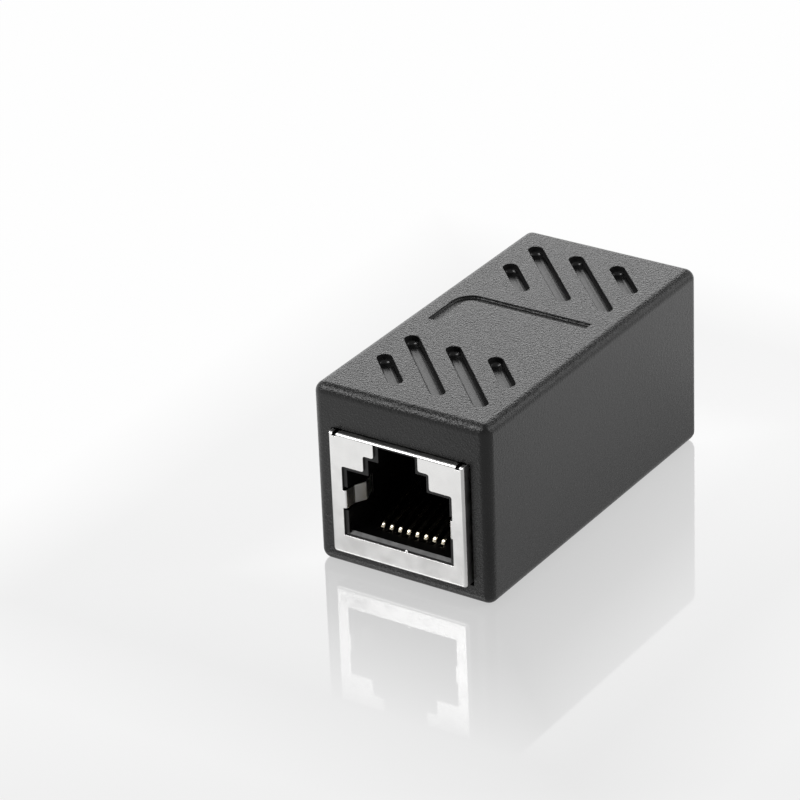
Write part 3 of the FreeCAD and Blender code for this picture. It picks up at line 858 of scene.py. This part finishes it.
@dataclass
class Sleeve:
    """The moulded sleeve and the frame that closes its rear.

    Attributes:
        frame_edge: Rounding of the frame's edges.
        rims: Roundings of the top of the slots and the line, of the slots' feet and of the line's feet.
        rim_segments: Faces across each of these roundings.
        finish: The plastic.
    """

    frame_edge: float = 0.08 * MM
    rims: Tuple[Rim, ...] = (Rim(19.9 * MM, 0.07 * MM), Rim(18.95 * MM, 0.48 * MM),
                             Rim(19.6 * MM, 0.2 * MM))
    rim_segments: int = 4
    finish: SparkErodedPlastic = field(default_factory=SparkErodedPlastic)

    def build(self, nodes: Nodes, softener: EdgeSoftener) -> None:
        """Rounds and dresses both pieces.

        Args:
            nodes: The CAD nodes.
            softener: Rounds their edges.
        """
        widest = max(rim.width for rim in self.rims)
        softener.soften(nodes["housing"], widest, self.rim_segments, self.rims)
        softener.soften(nodes["rear_frame"], self.frame_edge)
        material = self.finish.make()
        for name in ("housing", "rear_frame"):
            dress(nodes[name], material)


@dataclass
class ContactStrip:
    """The route and section of a sprung contact, in millimetres behind the mouth and above the underside.

    Attributes:
        count: Number of contacts.
        pitch: Distance from one contact to the next.
        width: Full width of the strip.
        thickness: Full thickness of the strip.
        edge: Radius of its long edges and of its ends.
        run_height: Height of the run along the carrier.
        tail_top: Height of the tail's end.
        tail_front: Distance of the nearer row of tails behind the mouth.
        tail_step: Distance from that row to the other.
        fold_setback: Distance of the fold behind the mouth.
        fold_height: Height of the fold's upper bend.
        tip_setback: Distance of the tip behind the mouth.
        tip_height: Height of the tip.
        bend: Radius of the bends.
        bend_steps: Stations on each bend.
        edge_steps: Points on each corner of the section.
        nose_steps: Rows on each rounded end.
    """

    count: int = 8
    pitch: float = 1.016
    width: float = 0.45
    thickness: float = 0.3
    edge: float = 0.11
    run_height: float = 2.65
    tail_top: float = 18.05
    tail_front: float = 13.36
    tail_step: float = 2.54
    fold_setback: float = 2.6
    fold_height: float = 4.85
    tip_setback: float = 12.3
    tip_height: float = 7.9
    bend: float = 0.6
    bend_steps: int = 12
    edge_steps: int = 4
    nose_steps: int = 5

    def column(self, number: Numbers) -> Numbers:
        """Returns how far contacts numbered from 1 lie from the socket's middle."""
        return self.pitch * (number - (self.count + 1) / 2)

    def tail(self, number: Numbers) -> Numbers:
        """Returns how far behind the mouth the tails of contacts numbered from 1 stand."""
        return self.tail_front + self.tail_step * (number % 2)

    def strip(self, number: int) -> np.ndarray:
        """One strip: the section carried along the route, with a round nose at each end.

        Station s has the route's point p and direction d. A section point (u, v) goes to p + v times the
        normal of d in the route's plane, and u across the socket. Along each nose, at angle b, the
        station is set back by e (1 - sin b) and the section shrinks by e (1 - cos b) on each side, where
        e is the edge radius; the last row is a single point.

        Args:
            number: The contact's number.

        Returns:
            Vertices in millimetres, shaped (row, column, 3).
        """
        back = self.tail(number)
        corners = np.array([
            [back, self.tail_top], [back, self.run_height], [self.fold_setback, self.run_height],
            [self.fold_setback, self.fold_height], [self.tip_setback, self.tip_height]])
        stations, headings = rounded_route(corners, self.bend, self.bend_steps)
        nose = np.linspace(0.0, np.pi / 2, self.nose_steps)
        reach = self.edge * (1 - np.sin(nose))[:, None]
        first = stations[0] + headings[0] * reach
        last = stations[-1] - headings[-1] * reach
        route = np.concatenate([first[-1:], first[::-1], stations[1:-1], last, last[-1:]])
        way = np.concatenate([np.repeat(headings[:1], self.nose_steps + 1, axis=0), headings[1:-1],
                              np.repeat(headings[-1:], self.nose_steps + 1, axis=0)])
        shrink = self.edge * (1 - np.cos(nose))
        shrink = np.concatenate([shrink[::-1], np.zeros(len(stations) - 2), shrink])
        section = rounded_section(self.width, self.thickness, self.edge, self.edge_steps)
        scale = 1 - shrink[:, None, None] / (np.array([self.width, self.thickness]) / 2)
        scale = np.concatenate([np.zeros((1, 1, 2)), scale, np.zeros((1, 1, 2))])
        points = section[None] * scale
        normal = np.stack([-way[:, 1], way[:, 0]], axis=-1)
        plane = route[:, None, :] + points[..., 1:] * normal[:, None, :]
        across = self.column(number) + points[..., :1]
        return np.concatenate([across, plane], axis=-1)


@dataclass
class Stub:
    """The sheared stub that the carrier strip leaves on the shield's opening, in millimetres.

    Attributes:
        sill: Height of the opening's lower edge.
        across: Distance of its middle from the socket's middle.
        back: Distance of its middle behind the mouth.
        width: Full width.
        depth: Full depth.
        corner: Radius of its upright edges.
        corner_steps: Points on each of these edges.
        height: Full height.
        root: How much of the height is sunk into the sill.
        levels: Height of each row, as a share of the full height.
        swell: Size of the section in each row, as a share of the full section.
    """

    sill: float = 4.18
    across: float = 0.9
    back: float = 0.1
    width: float = 0.34
    depth: float = 0.18
    corner: float = 0.05
    corner_steps: int = 4
    height: float = 0.3
    root: float = 0.06
    levels: Tuple[float, ...] = (0.0, 0.0, 0.8, 0.95, 1.0, 1.0)
    swell: Tuple[float, ...] = (0.0, 1.0, 1.0, 0.85, 0.5, 0.0)

    def surface(self) -> np.ndarray:
        """A rounded bar: its section, carried upwards, shrinks to a point at both ends.

        Returns:
            Vertices in millimetres, shaped (row, column, 3).
        """
        section = rounded_section(self.width, self.depth, self.corner, self.corner_steps)
        plan = section[None] * np.array(self.swell)[:, None, None] + np.array([self.across, self.back])
        return levelled(plan, np.array(self.levels) * self.height - self.root + self.sill)


@dataclass
class SocketEnd:
    """One socket: shield, insulator, contact carrier and eight contacts.

    Attributes:
        end: Which end of the coupler it fills.
        shield_edge: Rounding of the sheared and folded edges of the shield.
        insulator_edge: Rounding of the moulded edges.
        stub: The stub on the shield's opening.
        contact: The contacts' route and section.
    """

    end: End
    shield_edge: float = 0.04 * MM
    insulator_edge: float = 0.05 * MM
    stub: Stub = field(default_factory=Stub)
    contact: ContactStrip = field(default_factory=ContactStrip)

    def mouth(self) -> float:
        """Returns where the socket's face lies along Y."""
        low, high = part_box(self.end.label("shield"))
        return low[1] if self.end is End.FRONT else high[1]

    def placed(self, local: np.ndarray) -> np.ndarray:
        """Takes points from the socket's own frame to the part's.

        The socket's frame has Y 0 at the mouth, running inwards, and the rear socket is the front one
        turned half a turn, so both X and Y change sign there.

        Args:
            local: Points in millimetres, shaped (..., 3).

        Returns:
            The points in metres.
        """
        turn = np.array([self.end.value, self.end.value, 1.0])
        return local * turn * MM + np.array([0.0, self.mouth(), 0.0])

    def build_contacts(self, material: Material) -> None:
        """Makes the eight contacts, each in place of its CAD node.

        Args:
            material: The contacts' finish.
        """
        for number in range(1, self.contact.count + 1):
            name = self.end.label(f"contact_{number}")
            strip = self.placed(self.contact.strip(number))
            make_piece(f"{name}_strip", strip[None], material, [name])

    def build(self, nodes: Nodes, softener: EdgeSoftener, materials: Dict[Slot, Material]) -> None:
        """Rounds and dresses the moulded and folded pieces, and makes the contacts and the stub.

        Args:
            nodes: The CAD nodes.
            softener: Rounds their edges.
            materials: The finish of each slot.
        """
        for piece, slot, edge in (("shield", Slot.SHIELD, self.shield_edge),
                                  ("insulator", Slot.INSULATOR, self.insulator_edge),
                                  ("contact_carrier", Slot.INSULATOR, self.insulator_edge)):
            node = nodes[self.end.label(piece)]
            softener.soften(node, edge)
            dress(node, materials[slot])
        for number in range(1, self.contact.count + 1):
            dress(nodes[self.end.label(f"contact_{number}")], materials[Slot.CONTACT])
        self.build_contacts(materials[Slot.CONTACT])
        stub = self.placed(self.stub.surface())
        make_piece(self.end.label("shield_stub"), stub[None], materials[Slot.SHIELD])


@dataclass
class CircuitBoard:
    """The board, and the soldered joints on its upper face, in millimetres.

    Attributes:
        land: Radius of the land round a contact's tail.
        neck: Radius of the solder where it leaves the tail.
        rise: Height of the solder.
        land_thickness: Height of the land's own edge.
        hollow: Power that makes the solder's flank hollow; 1 is a straight cone.
        leg: Stretch of a leg's joint along X and Y.
        leg_across: Distance of a leg from the socket's middle.
        leg_back: Distance of a leg behind the mouth.
        rows: Rows on the flank of a joint.
        columns: Vertices round a joint.
        finish: The board's coat.
        solder: The joints' metal.
    """

    land: float = 0.78
    neck: float = 0.26
    rise: float = 0.72
    land_thickness: float = 0.04
    hollow: float = 2.2
    leg: Pair = (1.05, 1.8)
    leg_across: float = 7.775
    leg_back: float = 10.0
    rows: int = 14
    columns: int = 32
    finish: SolderResist = field(default_factory=SolderResist)
    solder: Solder = field(default_factory=Solder)

    def joint(self) -> np.ndarray:
        """One joint round the upright axis.

        Past the land's edge the radius falls evenly from the land to the neck while the height follows
        the rise times (share of the way) to the power of the hollow; the profile is turned round the
        axis, and it starts and ends on the axis.

        Returns:
            Vertices in millimetres, shaped (row, column, 3).
        """
        share = np.linspace(0.0, 1.0, self.rows)
        radius = np.concatenate([[0.0, self.land], self.land + (self.neck - self.land) * share, [0.0]])
        flank = self.land_thickness + (self.rise - self.land_thickness) * share ** self.hollow
        angle = np.linspace(0.0, 2 * np.pi, self.columns, endpoint=False)
        ring = np.stack([np.cos(angle), np.sin(angle)], axis=-1)
        return levelled(radius[:, None, None] * ring[None],
                        np.concatenate([[0.0, 0.0], flank, [self.rise]]))

    def build_joints(self, socket: SocketEnd, top: float, material: Material) -> None:
        """Makes a socket's ten joints as one piece: eight round ones and two long ones.

        Args:
            socket: The socket.
            top: Height of the board's upper face, in millimetres.
            material: The solder.
        """
        strip = socket.contact
        numbers = np.arange(1, strip.count + 1)
        tails = np.stack([strip.column(numbers), strip.tail(numbers), np.full(strip.count, top)], axis=-1)
        legs = np.array([[-self.leg_across, self.leg_back, top], [self.leg_across, self.leg_back, top]])
        joint = self.joint()
        round_ones = joint[None] + tails[:, None, None, :]
        long_ones = joint[None] * np.array([*self.leg, 1.0]) + legs[:, None, None, :]
        tubes = socket.placed(np.concatenate([round_ones, long_ones]))
        make_piece(socket.end.label("solder_joints"), tubes, material)

    def build(self, node: bpy.types.Object, sockets: Sequence[SocketEnd]) -> None:
        """Dresses the board and makes its joints.

        Args:
            node: The board's CAD node.
            sockets: The sockets that are soldered to it.
        """
        dress(node, self.finish.make())
        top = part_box(node.name)[1][2] / MM
        material = self.solder.make()
        for socket in sockets:
            self.build_joints(socket, top, material)


# ---------------------------------------------------------------- the studio


@dataclass(frozen=True)
class SoftBox:
    """A square lamp with a plain white face.

    Attributes:
        name: The lamp's name.
        place: Where its middle hangs.
        side: Length of its side.
        glow: Brightness of its face, where 1 is white.
        card: Whether it is a small bright card, which shows in shiny faces but does not light matt ones.
    """

    name: str
    place: Triple
    side: float
    glow: float
    card: bool = False

    def hang(self, aim: Vector) -> None:
        """Adds the lamp, facing a point.

        Args:
            aim: The point.
        """
        data = bpy.data.lights.new(self.name, "AREA")
        data.size = self.side
        data.energy = self.glow * np.pi * self.side ** 2
        lamp = add_object(self.name, data)
        lamp.location = self.place
        lamp.visible_diffuse = not self.card
        lamp.rotation_euler = (aim - Vector(self.place)).to_track_quat("-Z", "Y").to_euler()


@dataclass(frozen=True)
class Camera:
    """The camera.

    Attributes:
        place: Where it stands, in millimetres.
        right: The way to the right of the view.
        down: The way down the view.
        forward: The way that it looks.
        lens: Its focal length, in millimetres.
        sensor: The sensor's width, in millimetres.
        clip: The nearest and the farthest distance that it sees.
    """

    place: Triple = (192.79, -303.32, 197.88)
    right: Triple = (0.836624, 0.546555, -0.036584)
    down: Triple = (0.224617, -0.403206, -0.887114)
    forward: Triple = (-0.499608, 0.733964, -0.460097)
    lens: float = 178.834
    sensor: float = 36.0
    clip: Pair = (0.01, 20.0)

    def set_up(self) -> None:
        """Makes the camera: its axes are right, and down and forward reversed."""
        data = bpy.data.cameras.new("camera")
        data.lens = self.lens
        data.sensor_width = self.sensor
        data.clip_start, data.clip_end = self.clip
        camera = add_object("camera", data)
        axes = Matrix((self.right, [-value for value in self.down], [-value for value in self.forward]))
        place = Matrix.Translation(Vector(self.place) * MM)
        camera.matrix_world = place @ axes.transposed().to_4x4()
        bpy.context.scene.camera = camera


@dataclass(frozen=True)
class Floor:
    """The floor: a round sheet that curves up at its rim, polished round the part and white far from it.

    Attributes:
        radius: Radius of the sheet.
        rim: Height of the rim.
        rim_start: Share of the rings past which the sheet rises.
        gap: How far it lies below the part.
        rings: Rows from the middle to the rim.
        spokes: Vertices on each ring.
        colour: Brightness of the matt ground.
        footprint: Half width and half length of the part's footprint.
        glow: Share of plain white in the ground at the footprint, and far from it.
        glow_span: Distances from the footprint between which that share grows.
        heading: The way that the white brightens.
        tone: Brightness of the white at the near end of that way.
        tone_span: Distances along it between which the white brightens.
        dim_heading: The way that the white falls off, as polished faces see it: painted shade in their
            reflections.
        dim: Brightness that is left there.
        dim_span: Distances along it between which the white falls off.
        contact_tone: Brightness that polished faces see at the footprint: a painted contact shadow in
            their reflections.
        contact_reach: Distance from the footprint where that ends.
        mirror: Share of the polish at the footprint.
        polish_reach: Distance from the footprint where the polish ends.
        gloss: Roughness of the polish.
    """

    radius: float = 1.8
    rim: float = 0.6
    rim_start: float = 0.7
    gap: float = 0.02 * MM
    rings: int = 48
    spokes: int = 96
    colour: float = 0.85
    footprint: Pair = (10.25 * MM, 20.5 * MM)
    glow: Pair = (0.72, 0.985)
    glow_span: Pair = (8.0 * MM, 36.0 * MM)
    heading: Triple = (-0.563, 0.827, 0.0)
    tone: float = 0.88
    tone_span: Pair = (-55.0 * MM, 5.0 * MM)
    dim_heading: Triple = (0.825, -0.565, 0.0)
    dim: float = 0.5
    dim_span: Pair = (21.0 * MM, 28.0 * MM)
    contact_tone: float = 0.7
    contact_reach: float = 15.0 * MM
    mirror: float = 0.22
    polish_reach: float = 22.0 * MM
    gloss: float = 0.04

    def surface(self) -> np.ndarray:
        """The sheet as a grid.

        Ring share s gives the radius R s^2. The height is the rim's height times the cube of how far s is
        past the rim's start, as a share of the rest.

        Returns:
            Vertices in metres, shaped (1, row, column, 3).
        """
        share = np.linspace(0.0, 1.0, self.rings)[:, None]
        angle = np.linspace(0.0, 2 * np.pi, self.spokes, endpoint=False)[None, :]
        radius = self.radius * share ** 2
        risen = np.clip((share - self.rim_start) / (1.0 - self.rim_start), 0.0, 1.0)
        height = self.rim * risen ** 3 - self.gap
        grid = (radius * np.cos(angle), radius * np.sin(angle), height * np.ones_like(angle))
        return np.stack(grid, axis=-1)[None]

    def white(self, graph: FinishGraph, away: Socket, glossy: Socket) -> Socket:
        """Makes the plain white, whose brightness changes slowly over the sheet, with painted shade that
        only polished faces see.

        Args:
            graph: The floor's graph.
            away: Distance from the footprint.
            glossy: 1 for the rays of polished faces.

        Returns:
            The shader.
        """
        tone = graph.ranged(graph.along(self.heading), self.tone, 1.0, *self.tone_span)
        # Painted shade in reflections: polished faces see the white dimmer towards the front right and
        # near the part.
        kept = graph.product(graph.ranged(graph.along(self.dim_heading), 1.0, self.dim, *self.dim_span),
                             graph.ranged(away, self.contact_tone, 1.0, 0.0, self.contact_reach))
        lost = graph.product(graph.maths("SUBTRACT", 1.0, kept), glossy)
        tone = graph.product(tone, graph.maths("SUBTRACT", 1.0, lost))
        return graph.wired("ShaderNodeEmission", "Emission", {"Strength": tone})

    def finish(self) -> Material:
        """Makes the finish: a matt ground that keeps the part's shadow, white over it, and polish on top.

        Returns:
            The material.
        """
        graph = FinishGraph("floor_white")
        at = graph.split(graph.place)
        away = graph.maths("MAXIMUM", *(graph.maths("SUBTRACT", graph.maths("ABSOLUTE", at[axis]), half)
                                        for axis, half in zip("XY", self.footprint)))
        path = graph.node("ShaderNodeLightPath").outputs
        seen = graph.maths("MAXIMUM", path["Is Camera Ray"], path["Is Glossy Ray"])
        seen = graph.maths("MAXIMUM", seen, path["Is Transmission Ray"])
        matt = graph.wired("ShaderNodeBsdfDiffuse", "BSDF", {"Color": (self.colour,) * 3 + (1.0,)})
        share = graph.product(graph.ranged(away, *self.glow, *self.glow_span), seen)
        ground = graph.blend(share, matt, self.white(graph, away, path["Is Glossy Ray"]))
        polish = graph.wired("ShaderNodeBsdfAnisotropic", "BSDF", {"Roughness": self.gloss})
        share = graph.ranged(away, self.mirror, 0.0, 0.0, self.polish_reach)
        return graph.close(graph.blend(share, ground, polish))

    def lay(self) -> None:
        """Lays the floor."""
        add_tubes("floor", self.surface(), self.finish(), closed=False)


@dataclass
class Studio:
    """The camera, the floor, the surroundings and the lamps.

    Attributes:
        camera: The camera.
        floor: The floor.
        surroundings: Brightness of the room for all rays but the camera's, which see white.
        aim: The point that the lamps face.
        boxes: The lamps.
    """

    camera: Camera = field(default_factory=Camera)
    floor: Floor = field(default_factory=Floor)
    surroundings: float = 0.3
    aim: Triple = (0.0, 0.0, 0.01)
    boxes: Tuple[SoftBox, ...] = (
        SoftBox("rear_box", (-0.60, 0.88, 0.42), 0.75, 1.6),
        SoftBox("front_box", (-0.56, -0.56, 0.78), 0.52, 6.0, True),
        SoftBox("right_box", (0.85, 0.55, 0.62), 0.6, 2.6),
    )

    def build(self) -> None:
        """Makes the whole studio."""
        self.camera.set_up()
        self.floor.lay()
        self.make_surroundings()
        for box in self.boxes:
            box.hang(Vector(self.aim))
        bpy.context.scene.view_settings.view_transform = "Standard"

    def make_surroundings(self) -> None:
        """Makes the room: white behind the part, and an even grey to everything else."""
        world = bpy.data.worlds.new("studio")
        bpy.context.scene.world = world
        world.use_nodes = True
        graph = NodeGraph(world.node_tree)
        background = graph.tree.nodes["Background"].inputs
        graph.feed(background["Color"], (1.0, 1.0, 1.0, 1.0))
        graph.feed(background["Strength"], graph.wired("ShaderNodeMapRange", "Result", {
            "Value": graph.node("ShaderNodeLightPath").outputs["Is Camera Ray"],
            "To Min": self.surroundings}))


# ---------------------------------------------------------------- building


def main() -> None:
    """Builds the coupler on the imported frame, and then the studio round it."""
    logging.basicConfig(level=logging.INFO, format="%(name)s: %(message)s")
    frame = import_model()
    nodes = frame["nodes"]
    softener = EdgeSoftener()
    materials = {Slot.SHIELD: NickelPlate().make(), Slot.INSULATOR: MouldedBlack().make(),
                 Slot.CONTACT: GoldFlash().make()}
    Sleeve().build(nodes, softener)
    sockets = [SocketEnd(end) for end in End]
    for socket in sockets:
        socket.build(nodes, softener, materials)
    CircuitBoard().build(nodes["circuit_board"], sockets)
    Studio().build()


if __name__ == "__main__":
    main()
